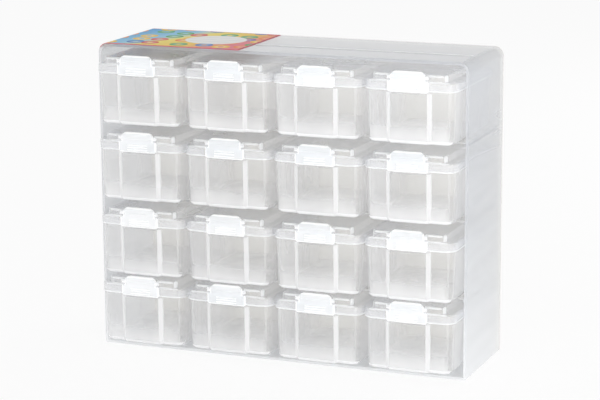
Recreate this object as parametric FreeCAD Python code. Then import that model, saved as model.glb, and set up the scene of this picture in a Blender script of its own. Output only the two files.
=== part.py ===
# Bead storage box: an open-front case with shelves that holds rows of small lidded boxes.
# Each small box is a tub, a lid that snaps onto two ears behind the tub, and a clasp that
# swings on two lugs at the front of the lid. The boxes pull out of the case like drawers.
# Millimetres, +Z up, the open front faces -Y. The origin is the middle of the case's underside.

import FreeCAD, Part
import math
import os

V = FreeCAD.Vector
ALONG_X = V(1, 0, 0)
UP = V(0, 0, 1)

# The grid of boxes
rows = 4
columns = 4

# Tub
tub_width = 62.0          # outside, at the rim
tub_depth = 86.0          # outside, at the rim, without the raised front panel
tub_height = 40.9         # underside to rim
tub_wall = 1.2
tub_floor = 1.4
tub_draft = 1.0           # how far each side leans in from the rim to the underside
tub_corner = 7.0          # upright corners, at the rim
tub_bottom_round = 3.0
panel_width = 26.7        # flat middle of the raised front panel
panel_raise = 2.0
panel_flank = 2.0         # width of each sloping flank
panel_top_gap = 1.3       # from the lid's skirt down to the top of the panel

# Lid
lid_play = 0.3            # between the skirt and the tub
lid_skirt = 1.0           # thickness of the skirt
lid_overlap = 5.3         # how far the skirt reaches down past the rim
lid_seat = 0.1            # between the rim and the underside of the lid
lid_top = 1.2             # thickness of the top
lid_edge_round = 1.6
plateau_height = 4.4      # the raised middle of the lid
plateau_inset = 6.5       # at the sides and the back
plateau_front_inset = 0.8
plateau_corner = 5.0
plateau_edge_round = 1.0

# Hinge behind the tub
hinge_bar_radius = 1.2
running_play = 0.05       # radial, between a pin and its hole
ear_wall = 0.95           # around the bar
ear_width = 4.0
ear_offset = 17.0         # from the middle of the box to the middle of an ear
ear_mouth = 1.7           # slot that the bar snaps in through
lug_width = 3.0
lug_gap = 0.5             # sideways, between an ear and a lug, and around an ear in the skirt

# Clasp
clasp_width = 28.4
clasp_thickness = 1.4
clasp_drop = 0.8          # how far it reaches below the skirt
clasp_rise = 2.2          # how far it stands above the plateau
clasp_play = 0.15
clasp_corner = 1.6        # at its lower corners
clasp_top_corner = 4.0
clasp_edge_round = 0.4    # around the front face
clasp_pin_radius = 0.9
clasp_pin_height = 2.2    # of the pins above the lid's shoulder
clasp_lug_width = 2.0
clasp_lug_wall = 0.95     # around a clasp pin
grip_rib_radius = 0.35
grip_rib_width = 15.0
grip_rib_pitch = 1.7
grip_rib_count = 3
catch_width = 21.0
catch_radius = 0.9        # bead on the tub that the clasp's hook snaps past
catch_height = 2.7        # of the bead above the edge of the skirt
hook_height = 1.0
window_play = 1.0         # around the catch in the lid's skirt

# Case
case_wall = 2.0
case_top_corner = 6.5
case_edge_round = 1.2
rim_round = 0.6           # along both edges of the open front
box_reach = 14.0          # how far a tub's front stands out of the case
back_play = 1.6           # behind the hinge
side_play = 1.8           # between the outer lids and the case
lid_gap = 1.0             # between neighbouring lids
slide_play = 0.1          # under a tub
bottom_headroom = 2.7     # over the lids of the bottom row
row_headroom = 6.7        # over the lids of the middle rows
top_headroom = 5.1        # over the lids of the top row
runner_height = 4.3       # ribs that carry the bottom row
runner_width = 2.0
runner_offset = 22.0      # from the middle of a column
bead_height = 0.5         # low bead moulded across the top
bead_width = 1.6
bead_setback = 29.0       # from the front of the case to the bead

# Shelves
shelf_thickness = 1.2
shelf_play = 0.2          # to the side walls and the back wall
shelf_setback = 6.0       # behind the front of the case
shelf_edge_round = 0.5
ledge_width = 2.5         # rails under the shelves on the walls
ledge_height = 1.6
guide_width = 1.2         # ribs that keep the boxes in their columns
guide_height = 2.0
guide_setback = 5.0       # from the ends of a shelf

# Label on the top
label_width = 99.0        # of the flat part
label_wrap = 60.0         # degrees that its left end bends down around the corner
label_margin = 1.0        # to the front and back edges
label_thickness = 0.3
label_glue = 0.05

# Worked out from the sizes above
skirt_z = tub_height - lid_overlap
shoulder_z = tub_height + lid_seat + lid_top
plateau_z = shoulder_z + plateau_height
box_height = plateau_z
lid_margin = lid_play + lid_skirt
lid_width = tub_width + 2 * lid_margin
lid_depth = tub_depth + 2 * lid_margin
column_pitch = lid_width + lid_gap
ear_radius = hinge_bar_radius + running_play + ear_wall
lug_radius = hinge_bar_radius + ear_wall
hinge_offset = ear_radius
case_width = columns * column_pitch + 2 * (side_play + case_wall)
case_depth = tub_depth - box_reach + hinge_offset + ear_radius + back_play + case_wall
case_front = -case_depth / 2
case_back = case_depth / 2
inner_half_width = case_width / 2 - case_wall
inner_back = case_back - case_wall
tub_front = case_front - box_reach
tub_back = tub_front + tub_depth
tub_middle = (tub_front + tub_back) / 2
lid_front = tub_front - lid_margin
lid_back = tub_back + lid_margin
hinge_y = tub_back + hinge_offset
hinge_z = skirt_z
clasp_back = lid_front - clasp_play
clasp_axis_y = clasp_back - clasp_thickness / 2
clasp_axis_z = shoulder_z + clasp_pin_height
clasp_lug_radius = clasp_pin_radius + running_play + clasp_lug_wall
clasp_neck = clasp_width / 2 - clasp_lug_width - clasp_play
pocket_back = clasp_axis_y + plateau_z + clasp_rise - clasp_axis_z + 2 * clasp_play

# Undersides of the boxes, bottom row first, and the height of the case
row_z = [case_wall + runner_height + slide_play]
for row in range(1, rows):
    headroom = bottom_headroom if row == 1 else row_headroom
    row_z.append(row_z[-1] + box_height + headroom)
case_height = row_z[-1] + box_height + top_headroom + case_wall
column_x = [(column - (columns - 1) / 2) * column_pitch for column in range(columns)]


def block(x0, x1, y0, y1, z0, z1):
    """A box between two corners."""
    return Part.makeBox(x1 - x0, y1 - y0, z1 - z0, V(x0, y0, z0))


def rod(radius, x0, x1, y, z):
    """A round bar along X."""
    return Part.makeCylinder(radius, x1 - x0, V(x0, y, z), ALONG_X)


def rounded_outline(half_width, y0, y1, radius, z):
    """A rectangle with round corners, in a level plane."""
    cut = radius * (1 - 0.5 ** 0.5)
    corners = [(half_width, y0, -1, 1), (half_width, y1, -1, -1), (-half_width, y1, 1, -1), (-half_width, y0, 1, 1)]
    edges = []
    last = V(-half_width + radius, y0, z)
    for number, (x, y, to_x, to_y) in enumerate(corners):
        along_x = V(x + to_x * radius, y, z)
        along_y = V(x, y + to_y * radius, z)
        start, end = (along_x, along_y) if number % 2 == 0 else (along_y, along_x)
        middle = V(x + to_x * cut, y + to_y * cut, z)
        edges.append(Part.LineSegment(last, start).toShape())
        edges.append(Part.Arc(start, middle, end).toShape())
        last = end
    return Part.Wire(edges)


def rounded_block(half_width, y0, y1, radius, z0, z1):
    """An upright block with round corners."""
    return Part.Face(rounded_outline(half_width, y0, y1, radius, z0)).extrude(UP * (z1 - z0))


def leaning_block(inset, z0, z1, z_low, z_high):
    """The tub's outline pulled in by an inset, leaning with its draft, between two heights."""
    outlines = []
    for z in (z0, z1):
        lean = tub_draft * (z_high - z) / (z_high - z_low) + inset
        outlines.append(
            rounded_outline(tub_width / 2 - lean, tub_front + lean, tub_back - lean, tub_corner - lean, z)
        )
    return Part.makeLoft(outlines, True, True)


def edges_at(shape, z, tolerance=1e-4):
    """The edges of a shape that lie in one level plane."""
    return [e for e in shape.Edges if max(abs(v.Z - z) for v in e.Vertexes) < tolerance]


def panel_prism(half_width, flank, back, reach, z0, z1):
    """The raised front panel: a trapezium that leans with the tub's front."""
    outlines = []
    for z in (z0, z1):
        front = tub_front + tub_draft * (tub_height - z) / tub_height
        points = [
            V(-half_width - flank, front + back, z),
            V(-half_width - flank, front, z),
            V(-half_width, front - reach, z),
            V(half_width, front - reach, z),
            V(half_width + flank, front, z),
            V(half_width + flank, front + back, z),
        ]
        outlines.append(Part.makePolygon(points + points[:1]))
    return Part.makeLoft(outlines, True, True)


def make_tub():
    """The open tub with its raised front panel, catch bead and two hinge ears."""
    body = leaning_block(0, 0, tub_height, 0, tub_height)
    body = body.makeFillet(tub_bottom_round, edges_at(body, 0))
    panel_top = skirt_z - panel_top_gap
    panel = panel_prism(panel_width / 2, panel_flank, 2 * tub_bottom_round, panel_raise, 0, panel_top)
    panel_low = [e for e in edges_at(panel, 0) if e.BoundBox.YMin < tub_front + tub_draft - panel_raise / 2]
    body = body.fuse(panel.makeFillet(tub_bottom_round, panel_low))
    hollow = leaning_block(tub_wall, tub_floor, tub_height, 0, tub_height)
    hollow = hollow.makeFillet(tub_bottom_round - tub_wall, edges_at(hollow, tub_floor))
    pocket = panel_prism(
        panel_width / 2 - tub_wall / 2,
        panel_flank,
        tub_wall * 2,
        panel_raise - tub_wall,
        tub_floor + tub_bottom_round,
        panel_top - tub_wall,
    )
    body = body.cut(hollow).cut(pocket)
    catch = rod(catch_radius, -catch_width / 2, catch_width / 2, tub_front, skirt_z + catch_height)
    body = body.fuse(catch.common(block(-tub_width, tub_width, lid_front, tub_front + tub_wall / 2, 0, tub_height)))
    for side in (-1, 1):
        low = side * ear_offset - ear_width / 2
        high = low + ear_width
        ear = rod(ear_radius, low, high, hinge_y, hinge_z)
        ear = ear.fuse(block(low, high, tub_back - tub_wall / 2, hinge_y, hinge_z - ear_radius, hinge_z + ear_radius))
        ear = ear.cut(rod(hinge_bar_radius + running_play, low, high, hinge_y, hinge_z))
        mouth = block(low, high, hinge_y, hinge_y + 2 * ear_radius, hinge_z - ear_mouth / 2, hinge_z + ear_mouth / 2)
        body = body.fuse(ear.cut(mouth))
    return body.removeSplitter()


def make_lid():
    """The lid: skirt, raised plateau with the clasp's pocket, clasp lugs, and the hinge bar on its lugs."""
    half = lid_width / 2
    corner = tub_corner + lid_margin
    shell = rounded_block(half, lid_front, lid_back, corner, skirt_z, shoulder_z)
    shell = shell.makeFillet(lid_edge_round, edges_at(shell, shoulder_z))
    plateau = rounded_block(
        half - plateau_inset,
        lid_front + plateau_front_inset,
        lid_back - plateau_inset,
        plateau_corner,
        shoulder_z - lid_top,
        plateau_z,
    )
    plateau = plateau.makeFillet(plateau_edge_round, edges_at(plateau, plateau_z))
    pocket_half = clasp_width / 2 - clasp_lug_width
    pocket = block(-pocket_half, pocket_half, clasp_back - clasp_thickness, pocket_back, shoulder_z, 2 * plateau_z)
    shell = shell.fuse(plateau.cut(pocket))
    inside = rounded_block(
        half - lid_skirt, lid_front + lid_skirt, lid_back - lid_skirt, corner - lid_skirt, 0, tub_height + lid_seat
    )
    raised = rounded_block(
        half - plateau_inset - lid_top,
        lid_front + plateau_front_inset + lid_top,
        lid_back - plateau_inset - lid_top,
        plateau_corner - lid_top,
        tub_height,
        plateau_z - lid_top,
    )
    kept = block(
        -pocket_half - clasp_lug_width,
        pocket_half + clasp_lug_width,
        lid_front,
        pocket_back + lid_top,
        tub_height + lid_seat,
        plateau_z,
    )
    shell = shell.cut(inside).cut(raised.cut(kept))
    window_half = catch_width / 2 + window_play
    window_top = skirt_z + catch_height + catch_radius + window_play
    shell = shell.cut(block(-window_half, window_half, lid_front, tub_front, 0, window_top))
    for side in (-1, 1):
        inner, outer = sorted((side * pocket_half, side * (pocket_half + clasp_lug_width)))
        lug = rod(clasp_lug_radius, inner, outer, clasp_axis_y, clasp_axis_z)
        lug = lug.fuse(
            block(
                inner,
                outer,
                clasp_axis_y,
                lid_front + plateau_front_inset + lid_top,
                clasp_axis_z - clasp_lug_radius,
                clasp_axis_z + clasp_lug_radius,
            )
        )
        shell = shell.fuse(lug)
        shell = shell.cut(rod(clasp_pin_radius + running_play, inner, outer, clasp_axis_y, clasp_axis_z))
        slot_half = ear_width / 2 + lug_gap
        slot_middle = side * ear_offset
        slot_top = hinge_z + ear_radius + lug_gap
        shell = shell.cut(block(slot_middle - slot_half, slot_middle + slot_half, tub_back, lid_back, 0, slot_top))
        lug_start = ear_offset + slot_half
        near, far = sorted((side * lug_start, side * (lug_start + lug_width)))
        arm = block(near, far, lid_back - lid_skirt / 2, hinge_y, hinge_z, hinge_z + lug_radius)
        shell = shell.fuse(arm.fuse(rod(lug_radius, near, far, hinge_y, hinge_z)))
    bar_half = ear_offset + ear_width / 2 + lug_gap + lug_width
    shell = shell.fuse(rod(hinge_bar_radius, -bar_half, bar_half, hinge_y, hinge_z))
    return shell.removeSplitter()


def make_clasp():
    """The clasp: a flap with a narrow neck between the lid's lugs, two pins, a hook and grip ribs."""
    low = skirt_z - clasp_drop
    high = plateau_z + clasp_rise
    front = clasp_back - clasp_thickness
    step = clasp_axis_z - clasp_lug_radius - clasp_play
    half = clasp_width / 2
    flap = block(-half, half, front, clasp_back, low, step)
    upright = [e for e in edges_at(flap, low) if abs(e.Vertexes[0].X - e.Vertexes[-1].X) < 1e-6]
    flap = flap.makeFillet(clasp_corner, upright)
    neck = block(-clasp_neck, clasp_neck, front, clasp_back, step - clasp_thickness, high)
    top = [e for e in edges_at(neck, high) if abs(e.Vertexes[0].X - e.Vertexes[-1].X) < 1e-6]
    flap = flap.fuse(neck.makeFillet(clasp_top_corner, top)).removeSplitter()
    outline = [e for e in flap.Edges if max(abs(v.Y - front) for v in e.Vertexes) < 1e-4]
    flap = flap.makeFillet(clasp_edge_round, outline)
    flap = flap.fuse(rod(clasp_pin_radius, -half + clasp_play, half - clasp_play, clasp_axis_y, clasp_axis_z))
    hook_tip = tub_front - catch_radius - clasp_play
    hook_low = low + clasp_drop / 2
    hook = block(-catch_width / 2, catch_width / 2, clasp_back, hook_tip, hook_low, hook_low + hook_height)
    flap = flap.fuse(hook)
    for number in range(grip_rib_count):
        height = low + grip_rib_pitch * (number + 1)
        flap = flap.fuse(rod(grip_rib_radius, -grip_rib_width / 2, grip_rib_width / 2, front, height))
    return flap.removeSplitter()


def make_case():
    """The open-front case with the shelf rails, the runners of the bottom row and a low bead across the top."""
    half = case_width / 2
    shell = block(-half, half, case_front, case_back, 0, case_height)
    top_edges = [e for e in edges_at(shell, case_height) if abs(e.Vertexes[0].X - e.Vertexes[-1].X) < 1e-6]
    shell = shell.makeFillet(case_top_corner, top_edges)
    low_edges = [e for e in edges_at(shell, 0) if abs(e.Vertexes[0].X - e.Vertexes[-1].X) < 1e-6]
    shell = shell.makeFillet(case_edge_round, low_edges)
    back_edges = [e for e in shell.Edges if min(v.Y for v in e.Vertexes) > case_back - 1e-4]
    shell = shell.makeFillet(case_edge_round, back_edges)
    room = block(-inner_half_width, inner_half_width, case_front, inner_back, case_wall, case_height - case_wall)
    room_edges = [
        e
        for e in edges_at(room, case_height - case_wall)
        if abs(e.Vertexes[0].X - e.Vertexes[-1].X) < 1e-6
    ]
    room = room.makeFillet(case_top_corner - case_wall, room_edges)
    shell = shell.cut(room)
    rim_edges = [e for e in shell.Edges if max(abs(v.Y - case_front) for v in e.Vertexes) < 1e-4]
    shell = shell.makeFillet(rim_round, rim_edges)
    for z in row_z[1:]:
        top = z - slide_play - shelf_thickness
        ring = block(-inner_half_width, inner_half_width, case_front + shelf_setback, inner_back, top - ledge_height, top)
        ring = ring.cut(
            block(
                -inner_half_width + ledge_width,
                inner_half_width - ledge_width,
                case_front,
                inner_back - ledge_width,
                top - ledge_height,
                top,
            )
        )
        shell = shell.fuse(ring)
    for x in column_x:
        for side in (-1, 1):
            middle = x + side * runner_offset
            shell = shell.fuse(
                block(
                    middle - runner_width / 2,
                    middle + runner_width / 2,
                    case_front + shelf_setback,
                    inner_back,
                    case_wall,
                    case_wall + runner_height,
                )
            )
    bead_y = case_front + bead_setback
    bead_start = -half + case_top_corner + label_width + bead_width
    bead_end = half - case_top_corner
    bead = block(
        bead_start, bead_end, bead_y - bead_width / 2, bead_y + bead_width / 2, case_height - case_wall / 2,
        case_height + bead_height,
    )
    crest = [e for e in edges_at(bead, case_height + bead_height) if abs(e.Vertexes[0].Y - e.Vertexes[-1].Y) < 1e-6]
    return shell.fuse(bead.makeFillet(bead_height * 0.9, crest)).removeSplitter()


def make_shelf(z):
    """A loose shelf with guide ribs between the columns. z is the underside of the boxes on it."""
    half = inner_half_width - shelf_play
    front = case_front + shelf_setback
    back = inner_back - shelf_play
    top = z - slide_play
    plate = block(-half, half, front, back, top - shelf_thickness, top)
    front_edges = [e for e in plate.Edges if max(v.Y for v in e.Vertexes) < front + 1e-4]
    long_edges = [e for e in front_edges if abs(e.Vertexes[0].X - e.Vertexes[-1].X) > half]
    plate = plate.makeFillet(shelf_edge_round, long_edges)
    for left, right in zip(column_x, column_x[1:]):
        middle = (left + right) / 2
        rib = block(
            middle - guide_width / 2,
            middle + guide_width / 2,
            front + guide_setback,
            back - guide_setback,
            top - shelf_thickness / 2,
            top + guide_height,
        )
        plate = plate.fuse(rib)
    return plate.removeSplitter()


def make_label():
    """The printed label stuck on the left of the top, with its left end bent down around the corner."""
    centre_x = -case_width / 2 + case_top_corner
    centre_z = case_height - case_top_corner
    right = centre_x + label_width
    front = case_front + label_margin
    back = case_back - case_edge_round - label_margin
    under = case_top_corner + label_glue
    over = under + label_thickness

    def bent(radius, degrees):
        turn = math.radians(degrees)
        return V(centre_x - radius * math.sin(turn), front, centre_z + radius * math.cos(turn))

    edges = [
        Part.LineSegment(V(right, front, centre_z + under), bent(under, 0)).toShape(),
        Part.Arc(bent(under, 0), bent(under, label_wrap / 2), bent(under, label_wrap)).toShape(),
        Part.LineSegment(bent(under, label_wrap), bent(over, label_wrap)).toShape(),
        Part.Arc(bent(over, label_wrap), bent(over, label_wrap / 2), bent(over, 0)).toShape(),
        Part.LineSegment(bent(over, 0), V(right, front, centre_z + over)).toShape(),
        Part.LineSegment(V(right, front, centre_z + over), V(right, front, centre_z + under)).toShape(),
    ]
    return Part.Face(Part.Wire(edges)).extrude(V(0, back - front, 0))


def save(shape, name):
    """Write one node."""
    shape.exportStep("parts/" + name + ".step")
    print(name, "solids", len(shape.Solids), "valid", shape.isValid(), "mm3", round(shape.Volume, 1))


os.makedirs("parts", exist_ok=True)
save(make_case(), "case_shell")
for number, z in enumerate(row_z[1:]):
    save(make_shelf(z), "shelf_%d" % (rows - 1 - number))
save(make_label(), "top_label")
pieces = {"tub": make_tub(), "lid": make_lid(), "clasp": make_clasp()}
for row in range(rows):
    for column in range(columns):
        place = V(column_x[column], 0, row_z[rows - 1 - row])
        for piece, shape in pieces.items():
            copy = shape.copy()
            copy.translate(place)
            save(copy, "%s_r%dc%d" % (piece, row + 1, column + 1))
print("case", round(case_width, 2), round(case_depth, 2), round(case_height, 2))
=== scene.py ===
# %% [markdown]
# # A bead storage box in translucent plastic
# This lesson dresses a finished construction model: an upright case with rows of small lidded boxes.
# The shapes, joints and sizes are already fixed, so the work here is the look: hazy clear plastic,
# a printed label, soft studio light and a camera that stands where the photographer stood.

# %% Load the construction model
import math

import bpy
from mathutils import Matrix, Vector


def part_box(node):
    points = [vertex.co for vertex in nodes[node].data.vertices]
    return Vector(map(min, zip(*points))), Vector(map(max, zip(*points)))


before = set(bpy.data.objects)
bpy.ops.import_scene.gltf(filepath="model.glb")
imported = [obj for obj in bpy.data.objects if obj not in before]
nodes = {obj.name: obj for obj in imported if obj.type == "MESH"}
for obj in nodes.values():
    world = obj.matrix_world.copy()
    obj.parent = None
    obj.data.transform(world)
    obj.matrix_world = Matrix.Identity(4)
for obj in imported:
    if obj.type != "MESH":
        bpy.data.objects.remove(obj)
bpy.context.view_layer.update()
MM = 0.001

# %% [markdown]
# ## Two small helpers
# Colours are easiest to pick as the hex values that a paint program shows, but shaders work in linear
# light, so one function converts them. Node trees get long when each node takes five lines, so one
# function adds a node, sets what is a value and links what is a node or an output of one.

# %% Colour and node helpers
def linear(hex_colour):
    """An sRGB hex colour as linear red, green, blue and alpha."""
    parts = [int(hex_colour[i:i + 2], 16) / 255 for i in (1, 3, 5)]
    return tuple(p / 12.92 if p <= 0.04045 else ((p + 0.055) / 1.055) ** 2.4 for p in parts) + (1.0,)


def add(tree, kind, sockets=None, stops=None, **settings):
    """One node with its settings, its socket values or links, and a colour ramp's stops."""
    node = tree.nodes.new("ShaderNode" + kind)
    for name, value in settings.items():
        setattr(node, name, value)
    for name, value in (sockets or {}).items():
        if isinstance(value, bpy.types.Node):
            value = next(output for output in value.outputs if output.enabled)
        if isinstance(value, bpy.types.NodeSocket):
            tree.links.new(value, node.inputs[name])
        else:
            node.inputs[name].default_value = value
    for number, (position, colour) in enumerate(stops or ()):
        elements = node.color_ramp.elements
        element = elements[number] if number < 2 else elements.new(position)
        element.position, element.color = position, linear(colour)
    return node


def new_finish(name):
    """An empty material and its node tree."""
    finish = bpy.data.materials.new(name)
    finish.use_nodes = True
    finish.node_tree.nodes.clear()
    return finish, finish.node_tree


print("a light grey in linear light:", [round(c, 3) for c in linear("#D8DBDE")[:3]])

# %% [markdown]
# ## Where the plastic is thick, and where light is painted
# Hazy plastic is whitest where there is most of it: along rims and hems, in the slanting flanks of a
# front panel, around a clasp. These edges also catch the light, and that light is painted on them as
# white highlights; the lower fronts of the tubs and the foot of the case get painted light from below.
# Those places are the same on every box, so a finish first has to know where on its own box a point
# lies. Sixteen materials could do that, but the boxes stand on a regular grid: wrapping the sideways
# coordinate by the grid's pitch, and taking off the height of the row, brings all the boxes onto one.

# %% A point's place on its own box
ROWS, COLUMNS = (1, 2, 3, 4), (1, 2, 3, 4)
JUST_BELOW = 0.1 * MM
undersides = [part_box("tub_r%dc1" % row)[0].z for row in ROWS]
middles = [sum(corner.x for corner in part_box("tub_r1c%d" % column)) / 2 for column in COLUMNS]
column_pitch = middles[1] - middles[0]


def place_on_box(tree):
    """Distance from the middle of the box, depth in the frame, and height above the box's underside."""
    axes = add(tree, "SeparateXYZ", {0: add(tree, "TexCoord").outputs["Object"]})
    along = add(tree, "Math", {0: axes.outputs["X"], 1: middles[0]}, operation="SUBTRACT")
    wrapped = add(tree, "Math", {0: along, 1: column_pitch / 2, 2: -column_pitch / 2}, operation="WRAP")
    across = add(tree, "Math", {0: wrapped}, operation="ABSOLUTE")
    height = add(tree, "Math", {0: axes.outputs["Z"], 1: undersides[-1]}, operation="SUBTRACT")
    for upper, lower in zip(undersides, undersides[1:]):
        higher = add(tree, "Math", {0: axes.outputs["Z"], 1: upper - JUST_BELOW}, operation="GREATER_THAN")
        height = add(tree, "Math", {0: higher, 1: lower - upper, 2: height}, operation="MULTIPLY_ADD")
    return across, axes.outputs["Y"], height


print("rows at", [round(z / MM, 1) for z in undersides], "columns every", round(column_pitch / MM, 1), "mm")

# %% [markdown]
# ## Bands of thick plastic
# Each thick place and each painted highlight is marked by a band: it is 1 where a coordinate lies
# between two sizes and 0 elsewhere.
# A band within a band makes a rectangle, and the strongest of several bands joins them to one mask.
# The plastic's thickness changes over a short way, so a band has a soft border. A band that should
# run off the edge of a part ends well outside it.

# %% Bands
SOFT_BORDER, BEYOND, EDGE = 0.25 * MM, 9 * MM, 0.8 * MM


def band(tree, value, start, end, within=None, level=1.0):
    """A level where a value lies between two sizes, with a soft border, and only within another band."""
    begun = add(tree, "MapRange", {0: value, 1: start - SOFT_BORDER, 2: start + SOFT_BORDER, 4: level})
    left = add(tree, "MapRange", {0: value, 1: end + SOFT_BORDER, 2: end - SOFT_BORDER})
    inside = add(tree, "Math", {0: begun, 1: left}, operation="MULTIPLY")
    return add(tree, "Math", {0: inside, 1: within}, operation="MULTIPLY") if within else inside


def any_of(tree, bands):
    """The strongest of the bands."""
    joined = bands[0]
    for other in bands[1:]:
        joined = add(tree, "Math", {0: joined, 1: other}, operation="MAXIMUM")
    return joined


print("a thin edge in mm:", round(EDGE / MM, 2))

# %% [markdown]
# ## Where a tub is thick, and its painted light
# The front of a tub carries a raised panel. Its slanting flanks are seen nearly edge on, so they show
# as two white upright lines, painted on as highlights. The round foot and the upright corners hold more
# plastic too and get painted highlights as well, and the lower half of the front is painted whiter and
# hazier than the upper half: painted light from below.

# %% Thick places and painted light of a tub
PANEL_RAISE, PANEL_FLANK = 2.0 * MM, (13.0 * MM, 15.7 * MM)
PANEL_FOOT, PANEL_TOP, CORNER = 0.5 * MM, 34.3 * MM, 27.0 * MM
FRONT_DEEP, FOOT_DEEP, FOOT_HIGH, LIGHT_FROM_BELOW_TOP = 2 * MM, 4 * MM, 2.6 * MM, 20 * MM
FLANK_HIGHLIGHT, CORNER_HIGHLIGHT, LIGHT_FROM_BELOW = 0.65, 0.25, 0.45
tub_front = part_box("tub_r1c1")[0].y + PANEL_RAISE


def tub_thickness_and_painted_light(tree):
    """The panel's flanks, the round foot and the upright corners as painted highlights, and painted light
    from below on the lower half.
    """
    across, depth, height = place_on_box(tree)
    front = band(tree, depth, tub_front - BEYOND, tub_front + FRONT_DEEP)
    panel = band(tree, height, PANEL_FOOT, PANEL_TOP, within=front)
    # Painted highlights: the flanks, the foot and the corners are whitened as lit edges.
    flanks = band(tree, across, *PANEL_FLANK, within=panel, level=FLANK_HIGHLIGHT)
    foot_front = band(tree, depth, tub_front - BEYOND, tub_front + FOOT_DEEP)
    foot = band(tree, height, -MM, FOOT_HIGH, within=foot_front)
    corner_highlights = band(tree, across, CORNER, CORNER + BEYOND, within=front, level=CORNER_HIGHLIGHT)
    # Painted light from below: the front gets whiter and hazier towards its foot.
    lighter_below = add(tree, "MapRange", {
        0: height, 1: LIGHT_FROM_BELOW_TOP, 2: MM, 4: LIGHT_FROM_BELOW}, interpolation_type="SMOOTHSTEP")
    lower = add(tree, "Math", {0: lighter_below, 1: front}, operation="MULTIPLY")
    return any_of(tree, (flanks, foot, corner_highlights, lower))


print("tub front in mm:", round(tub_front / MM, 1), "flanks", [round(edge / MM, 1) for edge in PANEL_FLANK])

# %% [markdown]
# ## Where a lid is thick, and its painted highlights
# A lid is a shallow cap: a skirt with a hem goes down over the tub, and a raised middle stands on its
# shoulder. Each of these edges catches the light as a fine white line, so each gets a band of painted
# highlight, and the skirt is made a little whiter.

# %% Thick places and painted highlights of a lid
SKIRT_OUT, HEM, SHOULDER = 1.3 * MM, 35.6 * MM, 42.2 * MM
PLATEAU, PLATEAU_SIDE = 46.6 * MM, 25.8 * MM
SHOULDER_DEEP, CREST_DEEP, ENDS_DEEP = 1.2 * MM, 1.8 * MM, 5 * MM
SKIRT_WHITE = 0.2
lid_front = tub_front - SKIRT_OUT


def lid_thickness_and_highlights(tree):
    """Painted highlights along the hem, the shoulder's front edge and the edges of the raised middle, and a
    little whiter skirt.
    """
    across, depth, height = place_on_box(tree)
    # Painted highlights: each edge below gets a white line as if lit.
    hem_highlight = band(tree, height, HEM - MM, HEM + EDGE)
    skirt = band(tree, height, HEM, SHOULDER - 2 * MM, level=SKIRT_WHITE)
    shoulder_front = band(tree, depth, lid_front - BEYOND, lid_front + SHOULDER_DEEP)
    shoulder_highlight = band(tree, height, SHOULDER - MM, SHOULDER + 0.2 * MM, within=shoulder_front)
    crest_front = band(tree, depth, lid_front - BEYOND, lid_front + CREST_DEEP)
    crest_highlight = band(tree, height, PLATEAU - 1.2 * MM, PLATEAU + MM, within=crest_front)
    raised = band(tree, height, SHOULDER, PLATEAU)
    ends_front = band(tree, depth, lid_front, lid_front + ENDS_DEEP, within=raised)
    end_highlights = band(tree, across, PLATEAU_SIDE - 1.5 * MM, PLATEAU_SIDE + 0.3 * MM, within=ends_front)
    return any_of(tree, (hem_highlight, skirt, shoulder_highlight, crest_highlight, end_highlights))


print("lid front in mm:", round(lid_front / MM, 1))

# %% [markdown]
# ## Where a clasp is thick, and its painted highlights
# A clasp is a small stout flap with a narrower neck above its step, and three ribs give the thumb a
# grip. Its outline and the ribs are thicker and catch the light, so they get painted highlights. The
# ribs are alike, so a loop lays out their bands.

# %% Thick places and painted highlights of a clasp
CLASP_HALF, CLASP_NECK, CLASP_STEP, CLASP_CROWN = 14.2 * MM, 12.05 * MM, 42.3 * MM, 0.9 * MM
GRIP_HALF, GRIP_PITCH, GRIP_COUNT, GRIP_THICK = 7.5 * MM, 1.7 * MM, 3, 0.35 * MM
clasp_foot, clasp_top = [corner.z - undersides[0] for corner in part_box("clasp_r1c1")]


def clasp_thickness_and_highlights(tree):
    """Painted highlights along the outline and on the grip ribs."""
    across, _, height = place_on_box(tree)
    # Painted highlights: the outline and the ribs are whitened as lit edges.
    flap = band(tree, across, CLASP_HALF - EDGE, CLASP_HALF + MM)
    upper = band(tree, height, CLASP_STEP, clasp_top)
    neck = band(tree, across, CLASP_NECK - EDGE, CLASP_NECK + MM, within=upper)
    foot = band(tree, height, clasp_foot - MM, clasp_foot + EDGE)
    crown_highlight = band(tree, height, clasp_top - CLASP_CROWN, clasp_top + MM)
    bands = [flap, neck, foot, crown_highlight]
    grip = band(tree, across, -MM, GRIP_HALF)
    for number in range(GRIP_COUNT):
        rib = clasp_foot + GRIP_PITCH * (number + 1)
        bands.append(band(tree, height, rib - GRIP_THICK, rib + GRIP_THICK, within=grip))
    return any_of(tree, bands)


print("clasp in mm above the underside:", round(clasp_foot / MM, 1), "to", round(clasp_top / MM, 1))

# %% [markdown]
# ## Where the case and a shelf are thick, and their painted light
# The case is heaviest along the rim of its open front and in the bead across its top, which get
# painted highlights, and its walls are painted whiter towards the foot: painted light from below. A
# shelf shows little more than its front edge, which gets a painted highlight.

# %% Thick places and painted light of the case and of a shelf
CASE_RIM, CASE_BEAD, CASE_LIGHT_FROM_BELOW_TOP = 0.9 * MM, 0.45 * MM, 200 * MM
RIM_HIGHLIGHT, CASE_LIGHT_FROM_BELOW = 0.5, 0.9
case_low, case_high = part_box("case_shell")
shelf_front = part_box("shelf_1")[0].y


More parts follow.
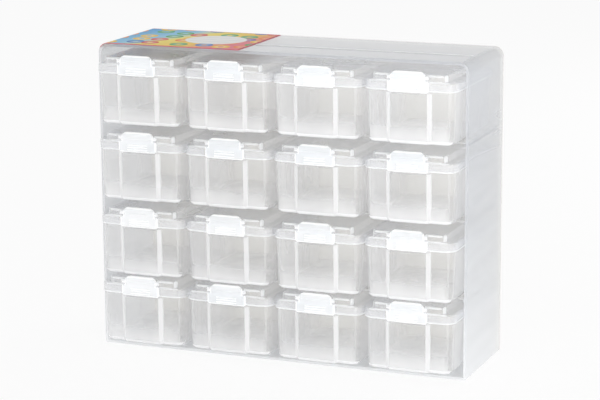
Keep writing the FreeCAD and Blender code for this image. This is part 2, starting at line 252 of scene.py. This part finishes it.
def case_thickness_and_painted_light(tree):
    """Painted highlights on the rim of the open front and the bead across the top, and painted light from
    below: more haze towards the foot.
    """
    axes = add(tree, "SeparateXYZ", {0: add(tree, "TexCoord").outputs["Object"]})
    rim = band(tree, axes.outputs["Y"], case_low.y - MM, case_low.y + CASE_RIM, level=RIM_HIGHLIGHT)
    bead = band(tree, axes.outputs["Z"], case_high.z - CASE_BEAD, case_high.z + MM)
    # Painted light from below: the case is whiter and hazier towards its foot.
    lower = add(tree, "MapRange", {0: axes.outputs["Z"], 1: CASE_LIGHT_FROM_BELOW_TOP, 2: 0.0, 4: CASE_LIGHT_FROM_BELOW})
    return any_of(tree, (rim, bead, lower))


def shelf_thickness_and_highlight(tree):
    """A painted highlight along the front edge."""
    axes = add(tree, "SeparateXYZ", {0: add(tree, "TexCoord").outputs["Object"]})
    # Painted highlight: the front edge is whitened as a lit line.
    return band(tree, axes.outputs["Y"], shelf_front - MM, shelf_front + EDGE)


print("case rim at", round(case_low.y / MM, 1), "mm, shelf front at", round(shelf_front / MM, 1), "mm")

# %% [markdown]
# ## The painted shade at the back
# Behind the boxes the real case shows a soft warm grey, not the bright studio. The back wall gets a
# denser, warm grey veil that paints this shade in. It could be a material of its own, but the case is
# one moulding, so one more band marks its back wall.

# %% The back wall
BACK_WALL, BACK_SHADE_COLOUR, BACK_SHADE_VEIL = 2.4 * MM, "#E0DED9", 0.46


def case_back_shade(tree):
    """The back wall of the case, where the shade is painted."""
    axes = add(tree, "SeparateXYZ", {0: add(tree, "TexCoord").outputs["Object"]})
    return band(tree, axes.outputs["Y"], case_high.y - BACK_WALL, case_high.y + MM)


print("matt from", round((case_high.y - BACK_WALL) / MM, 1), "to", round(case_high.y / MM, 1), "mm")

# %% [markdown]
# ## Moulded polypropylene
# The case and the boxes are injection moulded polypropylene. It is never quite clear: a thin wall
# passes most of the light straight on and scatters the rest, so each wall reads as a thin white veil
# and the walls behind it show through, fainter and fainter. A ray that slants through a wall meets
# more of it, so a floor or a side wall seen along its length is whiter than one seen squarely.
# The skin is glossy, and every edge and round corner mirrors the white studio.
# A glass shader would be the obvious choice, but it bends the view at each of dozens of walls and
# turns the insides dark. A hazy wall hides that bending anyway, so part of each ray goes straight on
# through a transparent shader. What is stopped is scattered, half of it back and half of it onwards,
# which is why the insides of such a box are light even far from its front. The gloss is one more
# shader, mixed in by the angle of view as on any clear plastic. A wall is seen from both of its
# sides, so the back faces get the inverse index, or they would mirror like the inside of a prism.
# Melt that flows into a mould leaves long soft streaks and a faint ripple on the skin. The real
# ripple is finer than a pixel here, so it is drawn a few millimetres wide.

# %% The polypropylene finish
PLASTIC_IOR, STEEPEST = 1.49, 0.1
STREAK, CLOUD, RIPPLE, RIPPLE_DEEP = 16 * MM, 38 * MM, 5 * MM, 0.15 * MM
STREAK_FAINT, STREAK_STRONG, CLOUD_FAINT, CLOUD_STRONG = 0.35, 0.65, 0.3, 0.7


def polypropylene(name, colours, veil, thick_and_painted_veil, roughness, flow, thickness_and_painted_light, back_shade=None):
    """Hazy plastic: veil is the least and most that one surface stops, flow the streaks' stretch."""
    finish, tree = new_finish(name)
    place = add(tree, "TexCoord").outputs["Object"]
    along = add(tree, "Mapping", {"Vector": place, "Scale": flow})
    streaks = add(tree, "TexNoise", {"Vector": along, "Scale": 1 / STREAK, "Detail": 1.0})
    # Thick places, painted highlights and painted light from below whiten the colour and thicken the veil.
    thick_and_painted = thickness_and_painted_light(tree)
    body = add(tree, "ValToRGB", {0: streaks}, stops=(
        (STREAK_FAINT, colours[0]), (STREAK_STRONG, colours[1])))
    whitened = add(tree, "Mix", {0: thick_and_painted, 6: body, 7: linear(colours[2])}, data_type="RGBA")
    passed = add(tree, "MapRange", {
        0: streaks, 1: STREAK_FAINT, 2: STREAK_STRONG, 3: 1 - veil[0], 4: 1 - veil[1]})
    slant = add(tree, "LayerWeight", {"Blend": 0.5}).outputs["Facing"]
    square = add(tree, "Math", {0: 1.0, 1: slant}, operation="SUBTRACT")
    steep = add(tree, "Math", {0: square, 1: STEEPEST}, operation="MAXIMUM")
    length = add(tree, "Math", {0: 1.0, 1: steep}, operation="DIVIDE")
    thin_passed = add(tree, "Math", {0: passed, 1: length}, operation="POWER")
    thick_and_painted_passed = add(tree, "MapRange", {0: thick_and_painted, 3: 1.0, 4: 1 - thick_and_painted_veil})
    through = add(tree, "Math", {0: thin_passed, 1: thick_and_painted_passed}, operation="MULTIPLY")
    # Painted shade at the back: a denser warm grey veil on the back wall.
    if back_shade:
        matt = back_shade(tree)
        whitened = add(tree, "Mix", {0: matt, 6: whitened, 7: linear(BACK_SHADE_COLOUR)}, data_type="RGBA")
        back_shade_passed = add(tree, "MapRange", {0: matt, 3: 1.0, 4: 1 - BACK_SHADE_VEIL})
        through = add(tree, "Math", {0: through, 1: back_shade_passed}, operation="MULTIPLY")
    stopped = add(tree, "Math", {0: 1.0, 1: through}, operation="SUBTRACT")
    clouds = add(tree, "TexNoise", {"Vector": place, "Scale": 1 / CLOUD, "Detail": 2.0})
    gloss = add(tree, "MapRange", {
        0: clouds, 1: CLOUD_FAINT, 2: CLOUD_STRONG, 3: roughness[0], 4: roughness[1]})
    ripple = add(tree, "TexNoise", {"Vector": along, "Scale": 1 / RIPPLE, "Detail": 1.0})
    skin = add(tree, "Bump", {"Height": ripple, "Strength": 0.10, "Distance": RIPPLE_DEEP})
    back = add(tree, "BsdfPrincipled", {
        "Base Color": whitened, "Roughness": gloss, "Normal": skin,
        "IOR": PLASTIC_IOR, "Specular IOR Level": 0.0})
    onwards = add(tree, "BsdfTranslucent", {"Color": whitened, "Normal": skin})
    scattered = add(tree, "MixShader", {0: 0.5, 1: back, 2: onwards})
    clear = add(tree, "BsdfTransparent", {"Color": linear("#FFFFFF")})
    haze = add(tree, "MixShader", {0: stopped, 1: clear, 2: scattered})
    behind = add(tree, "NewGeometry").outputs["Backfacing"]
    index = add(tree, "MapRange", {0: behind, 3: PLASTIC_IOR, 4: 1 / PLASTIC_IOR})
    mirrored = add(tree, "Fresnel", {"IOR": index, "Normal": skin})
    shine = add(tree, "BsdfGlossy", {"Color": linear("#FFFFFF"), "Roughness": gloss, "Normal": skin})
    both = add(tree, "MixShader", {0: mirrored, 1: haze, 2: shine})
    add(tree, "OutputMaterial", {"Surface": both})
    print("finish:", name, "veil per surface", veil, "nodes", len(tree.nodes))
    return finish


# %% [markdown]
# ## Five plastics from one recipe
# The parts are moulded from the same plastic, but not in the same thickness. The case is a little
# grey, the shelves and lids are thin and clear, the tubs are the haziest of the thin parts, and the
# stout little clasps are nearly white. In a tub the melt ran upwards, in the other parts sideways.

# %% The five plastics
UPRIGHT_FLOW, LEVEL_FLOW = (1.0, 1.0, 0.12), (0.12, 0.12, 1.0)
# The third colour of each is the white of its thick places, painted highlights and painted light.
case_plastic = polypropylene(
    "case_polypropylene", ("#B9BDC5", "#C1C5CC", "#FAFBFC"),
    (0.11, 0.14), 0.55, (0.10, 0.20), LEVEL_FLOW, case_thickness_and_painted_light, back_shade=case_back_shade)
shelf_plastic = polypropylene(
    "shelf_polypropylene", ("#FBFAF6", "#FDFCF9", "#FCFCFC"),
    (0.04, 0.06), 0.30, (0.25, 0.35), LEVEL_FLOW, shelf_thickness_and_highlight)
tub_plastic = polypropylene(
    "tub_polypropylene", ("#F6F6F7", "#FBFBFB", "#FEFEFF"),
    (0.10, 0.14), 0.85, (0.08, 0.16), UPRIGHT_FLOW, tub_thickness_and_painted_light)
lid_plastic = polypropylene(
    "lid_polypropylene", ("#F3F5F9", "#F9FAFD", "#FDFEFF"),
    (0.05, 0.08), 0.80, (0.18, 0.28), LEVEL_FLOW, lid_thickness_and_highlights)
clasp_plastic = polypropylene(
    "clasp_polypropylene", ("#F7FAFD", "#FDFEFF", "#FFFFFF"),
    (0.44, 0.54), 0.92, (0.12, 0.22), LEVEL_FLOW, clasp_thickness_and_highlights)

# %% [markdown]
# ## Dressing the parts
# The construction parts already have the right shape, so they only get their finish.
# The first word of a part's name says what it is: every tub starts with "tub", every lid with "lid".

# %% Give each part its finish
finish_of = {
    "case": case_plastic, "shelf": shelf_plastic,
    "tub": tub_plastic, "lid": lid_plastic, "clasp": clasp_plastic}
for name, part in nodes.items():
    kind = name.split("_")[0]
    if kind in finish_of:
        part.data.materials.clear()
        part.data.materials.append(finish_of[kind])
print("dressed:", {kind: sum(name.startswith(kind) for name in nodes) for kind in finish_of})

# %% [markdown]
# ## The printed label
# The label is coated paper, printed in light blue, yellow and pink. The print shows what the box is
# for: loose beads scattered over a soft sweep of colour, and a white field to write on.
# A picture could be mapped on, but a few formulas draw it sharper. A slanted gradient makes the
# sweep. A Voronoi pattern gives every bead its own place and its own number: the distance to that
# place draws the disc and its hole, and the number picks a colour.
# The left end of the label goes down round the corner of the case. There the print has to follow the
# arc, so the label is first laid flat: the distance along the paper takes the place of the sideways
# coordinate. The coating is half glossy and the paper cockles a little, so the light on it is uneven.

# %% The label laid flat
BEND_RADIUS, CASE_CORNER = 6.7 * MM, 6.5 * MM
low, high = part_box("top_label")
bend_x, bend_z = case_low.x + CASE_CORNER, high.z - BEND_RADIUS
label_print, tree = new_finish("coated_label_paper")
axes = add(tree, "SeparateXYZ", {0: add(tree, "TexCoord").outputs["Object"]})
level_x = add(tree, "Math", {0: axes.outputs["X"], 1: bend_x}, operation="MAXIMUM")
past = add(tree, "Math", {0: bend_x, 1: axes.outputs["X"]}, operation="SUBTRACT")
over = add(tree, "Math", {0: past, 1: 0.0}, operation="MAXIMUM")
rise = add(tree, "Math", {0: axes.outputs["Z"], 1: bend_z}, operation="SUBTRACT")
angle = add(tree, "Math", {0: over, 1: rise}, operation="ARCTAN2")
flat_x = add(tree, "Math", {0: angle, 1: -BEND_RADIUS, 2: level_x}, operation="MULTIPLY_ADD")
place = add(tree, "CombineXYZ", {0: flat_x, 1: axes.outputs["Y"]})
label_start = bend_x - BEND_RADIUS * math.acos((low.z - bend_z) / BEND_RADIUS)
label_wide, label_deep = high.x - label_start, high.y - low.y
label_middle = ((label_start + high.x) / 2, (low.y + high.y) / 2)
print("label laid flat in mm:", round(label_wide / MM, 1), "by", round(label_deep / MM, 1))

# %% The label's ground: a slanted sweep of colour
SWEEP_TURN = math.radians(24)
slant = add(tree, "Mapping", {
    "Vector": place, "Location": (-label_start / label_wide, 0.0, 0.0),
    "Rotation": (0.0, 0.0, SWEEP_TURN), "Scale": (1 / label_wide, 1 / label_wide, 0.0)})
sweep = add(tree, "TexGradient", {"Vector": slant})
ground = add(tree, "ValToRGB", {0: sweep}, stops=(
    (0.05, "#4FA6DF"), (0.97, "#EA7F8A"), (0.38, "#98D2EE"), (0.52, "#F8E56E"), (0.78, "#F6CB5C")))
print("sweep of", len(ground.color_ramp.elements), "colours")

# %% The label's beads
BEAD_PITCH, BEAD_RADIUS, BEAD_HOLE, BEAD_RING = 17 * MM, 6.4 * MM, 2.0 * MM, 5.4 * MM
SHARP, BEAD_GLINT = 0.01, 0.35
hole, ring, reach = [size / BEAD_PITCH for size in (BEAD_HOLE, BEAD_RING, BEAD_RADIUS)]
scatter = add(tree, "TexVoronoi", {
    "Vector": place, "Scale": 1 / BEAD_PITCH, "Randomness": 0.55}, voronoi_dimensions="2D")
away = scatter.outputs["Distance"]
disc = add(tree, "ValToRGB", {0: away}, stops=(
    (hole - SHARP, "#000000"), (reach + SHARP, "#000000"),
    (hole + SHARP, "#FFFFFF"), (reach - SHARP, "#FFFFFF")))
number = add(tree, "SeparateColor", {0: scatter.outputs["Color"]})
paint = add(tree, "ValToRGB", {0: number}, stops=(
    (0.0, "#D8413A"), (0.84, "#7A58AE"), (0.17, "#F0892B"),
    (0.33, "#F4C836"), (0.5, "#3FA35B"), (0.67, "#2F78BE")))
paint.color_ramp.interpolation = "CONSTANT"
rounded = add(tree, "MapRange", {0: away, 1: hole, 2: ring, 3: BEAD_GLINT, 4: 0.0})
lit = add(tree, "Mix", {0: rounded, 6: paint, 7: linear("#FFFFFF")}, data_type="RGBA")
beaded = add(tree, "Mix", {0: disc, 6: ground, 7: lit}, data_type="RGBA")
print("bead pitch in mm:", round(BEAD_PITCH / MM, 1))

# %% The label's white field and its border
FIELD, FIELD_SHIFT, BORDER = (44 * MM, 40 * MM), 20 * MM, 1.2 * MM
LINE_PITCH, LINE_THICK, LINE_STRENGTH = 9 * MM, 0.8 * MM, 0.35
field_middle = (label_middle[0] + FIELD_SHIFT, label_middle[1])
field_place = add(tree, "Mapping", {
    "Vector": place, "Location": (-field_middle[0] / FIELD[0] * 2, -field_middle[1] / FIELD[1] * 2, 0.0),
    "Scale": (2 / FIELD[0], 2 / FIELD[1], 0.0)})
field_reach = add(tree, "VectorMath", {0: field_place}, operation="LENGTH")
field = add(tree, "MapRange", {0: field_reach.outputs["Value"], 1: 1.02, 2: 0.98})
ruled = add(tree, "Math", {0: axes.outputs["Y"], 1: LINE_PITCH / 2, 2: -LINE_PITCH / 2}, operation="WRAP")
lines = band(tree, ruled, -LINE_THICK / 2, LINE_THICK / 2, level=LINE_STRENGTH)
writing = add(tree, "Mix", {0: lines, 6: linear("#FBFBF8"), 7: linear("#7C8DA6")}, data_type="RGBA")
fielded = add(tree, "Mix", {0: field, 6: beaded, 7: writing}, data_type="RGBA")
kept_x = band(tree, flat_x, label_start + BORDER, high.x - BORDER)
kept = band(tree, axes.outputs["Y"], low.y + BORDER, high.y - BORDER, within=kept_x)
written = add(tree, "Mix", {0: kept, 6: linear("#C4525F"), 7: fielded}, data_type="RGBA")
print("white field in mm:", [round(side / MM, 1) for side in FIELD])

# %% The label's paper
FIBRE, COCKLE, COCKLE_DEEP = 2.5 * MM, 22 * MM, 0.4 * MM
fibre = add(tree, "TexNoise", {"Vector": place, "Scale": 1 / FIBRE, "Detail": 2.0})
coating = add(tree, "MapRange", {0: fibre, 1: 0.3, 2: 0.7, 3: 0.42, 4: 0.55})
cockle = add(tree, "TexNoise", {"Vector": place, "Scale": 1 / COCKLE, "Detail": 1.0})
lift = add(tree, "Bump", {"Height": cockle, "Strength": 0.2, "Distance": COCKLE_DEEP})
paper = add(tree, "BsdfPrincipled", {
    "Base Color": written, "Roughness": coating, "Normal": lift, "IOR": 1.5, "Specular IOR Level": 0.25})
add(tree, "OutputMaterial", {"Surface": paper})
nodes["top_label"].data.materials.clear()
nodes["top_label"].data.materials.append(label_print)
print("label print nodes:", len(tree.nodes))

# %% [markdown]
# ## Floor and surroundings
# The photograph stands on plain white. A wide floor takes the shadow. To the camera, and in what
# shines or is seen through, the floor and the world are mixed towards white, so the background is
# white without pouring more light on the plastic. As light, the world stays at a plain level, where a
# colour looks about as it is written.

# %% Floor
FLOOR_WIDE, FLOOR_SHARE = 6.0, 0.9


def as_background(tree):
    """1 for rays that see the surroundings as a background, 0 for rays that light the object."""
    path = add(tree, "LightPath")
    camera_ray, glossy_ray = path.outputs["Is Camera Ray"], path.outputs["Is Glossy Ray"]
    seen = add(tree, "Math", {0: camera_ray, 1: glossy_ray}, operation="MAXIMUM")
    return add(tree, "Math", {0: seen, 1: path.outputs["Is Transmission Ray"]}, operation="MAXIMUM")


bpy.ops.object.select_all(action="DESELECT")
bpy.ops.mesh.primitive_plane_add(size=FLOOR_WIDE, location=(0.0, 0.0, -0.5 * MM))
floor = bpy.context.object
floor.name = "studio_floor"
floor_finish, tree = new_finish("studio_paper")
share = add(tree, "Math", {0: as_background(tree), 1: FLOOR_SHARE}, operation="MULTIPLY")
matt = add(tree, "BsdfDiffuse", {"Color": linear("#FAFAFA")})
white = add(tree, "Emission", {"Color": linear("#FFFFFF"), "Strength": 1.0})
both = add(tree, "MixShader", {0: share, 1: matt, 2: white})
add(tree, "OutputMaterial", {"Surface": both})
floor.data.materials.append(floor_finish)
print("floor:", floor.name)

# %% World
WORLD_LIGHT = 0.56
world = bpy.data.worlds.new("studio_world")
bpy.context.scene.world = world
world.use_nodes = True
world.node_tree.nodes.clear()
level = add(world.node_tree, "MapRange", {0: as_background(world.node_tree), 3: WORLD_LIGHT, 4: 1.0})
sky = add(world.node_tree, "Background", {"Color": linear("#FFFFFF"), "Strength": level})
add(world.node_tree, "OutputWorld", {"Surface": sky})
print("world light:", WORLD_LIGHT)

# %% [markdown]
# ## Lamps
# Most of the light comes from the world, as in a light tent. Four softboxes shape it: a key from the
# front left, a long low one in front that reaches under the lids, a fill from the right for the side
# of the case, and one behind that makes the hazy insides glow. They are large and stand about a metre
# off or more, so the boxes keep their tone when they are pulled out. The skins mirror the white
# studio already, so the lamps are kept out of their reflections, where they would only glare.

# %% Lamps
def softbox(name, place, target, wide, tall, watts):
    """A large area lamp that faces a point."""
    away = [p - t for p, t in zip(place, target)]
    tilt = math.atan2(math.hypot(away[0], away[1]), away[2])
    turn = math.atan2(away[0], -away[1])
    bpy.ops.object.light_add(type="AREA", location=place, rotation=(tilt, 0.0, turn))
    lamp = bpy.context.object
    lamp.name = name
    lamp.data.shape = "RECTANGLE"
    lamp.data.size, lamp.data.size_y = wide, tall
    lamp.data.energy = watts
    lamp.visible_camera = False
    lamp.visible_glossy = False
    print("lamp:", name, watts, "W")


MIDDLE, FOOT = (0.0, 0.0, 0.11), (0.0, 0.0, 0.03)
softbox("key_softbox", (-0.70, -1.55, 0.48), MIDDLE, 1.2, 0.9, 3.8)
softbox("fill_softbox", (1.15, -0.60, 0.15), MIDDLE, 0.9, 0.3, 3.5)
softbox("low_softbox", (0.30, -1.30, 0.16), FOOT, 1.8, 0.3, 12.0)
softbox("back_softbox", (0.85, 1.10, 0.35), MIDDLE, 1.0, 0.9, 10.5)

# %% [markdown]
# ## Camera
# The angle, distance and lens were worked out from the picture: edges of the case and of the rows
# of boxes were marked, and a camera was fitted that sees the model's own edges in the same places.
# The result is a long lens, a good metre and a half away, a little above and to the right.

# %% Camera
AZIMUTH, ELEVATION, ROLL = math.radians(21.80), math.radians(12.36), math.radians(-0.32)
DISTANCE, TARGET = 1540 * MM, Vector((-0.3 * MM, 0.0, 106.15 * MM))
SENSOR, FOCAL_PIXELS, PHOTO_WIDE = 36.0, 2196, 600
turned = Matrix.Rotation(AZIMUTH, 3, "Z") @ Matrix.Rotation(math.pi / 2 - ELEVATION, 3, "X")
backwards = turned @ Vector((0.0, 0.0, 1.0))
bpy.ops.object.camera_add(
    location=TARGET + DISTANCE * backwards, rotation=(turned @ Matrix.Rotation(ROLL, 3, "Z")).to_euler())
camera = bpy.context.object
camera.name = "photo_camera"
camera.data.sensor_fit = "HORIZONTAL"
camera.data.sensor_width = SENSOR
camera.data.lens = SENSOR * FOCAL_PIXELS / PHOTO_WIDE
camera.data.clip_end = 20.0
bpy.context.scene.camera = camera
bpy.context.scene.view_settings.view_transform = "Standard"
print("lens in mm:", round(camera.data.lens, 1))

# %% [markdown]
# ## Many walls behind each other
# A line of sight can cross two dozen thin walls, and light is passed on from one wall to the next
# before it comes out again. Too few steps would leave black patches, so the limits are raised.

# %% Steps of light
WALLS_CROSSED, TIMES_SCATTERED = 32, 8
bpy.context.scene.cycles.transparent_max_bounces = WALLS_CROSSED
bpy.context.scene.cycles.diffuse_bounces = TIMES_SCATTERED
print("walls crossed:", WALLS_CROSSED, "times scattered:", TIMES_SCATTERED)
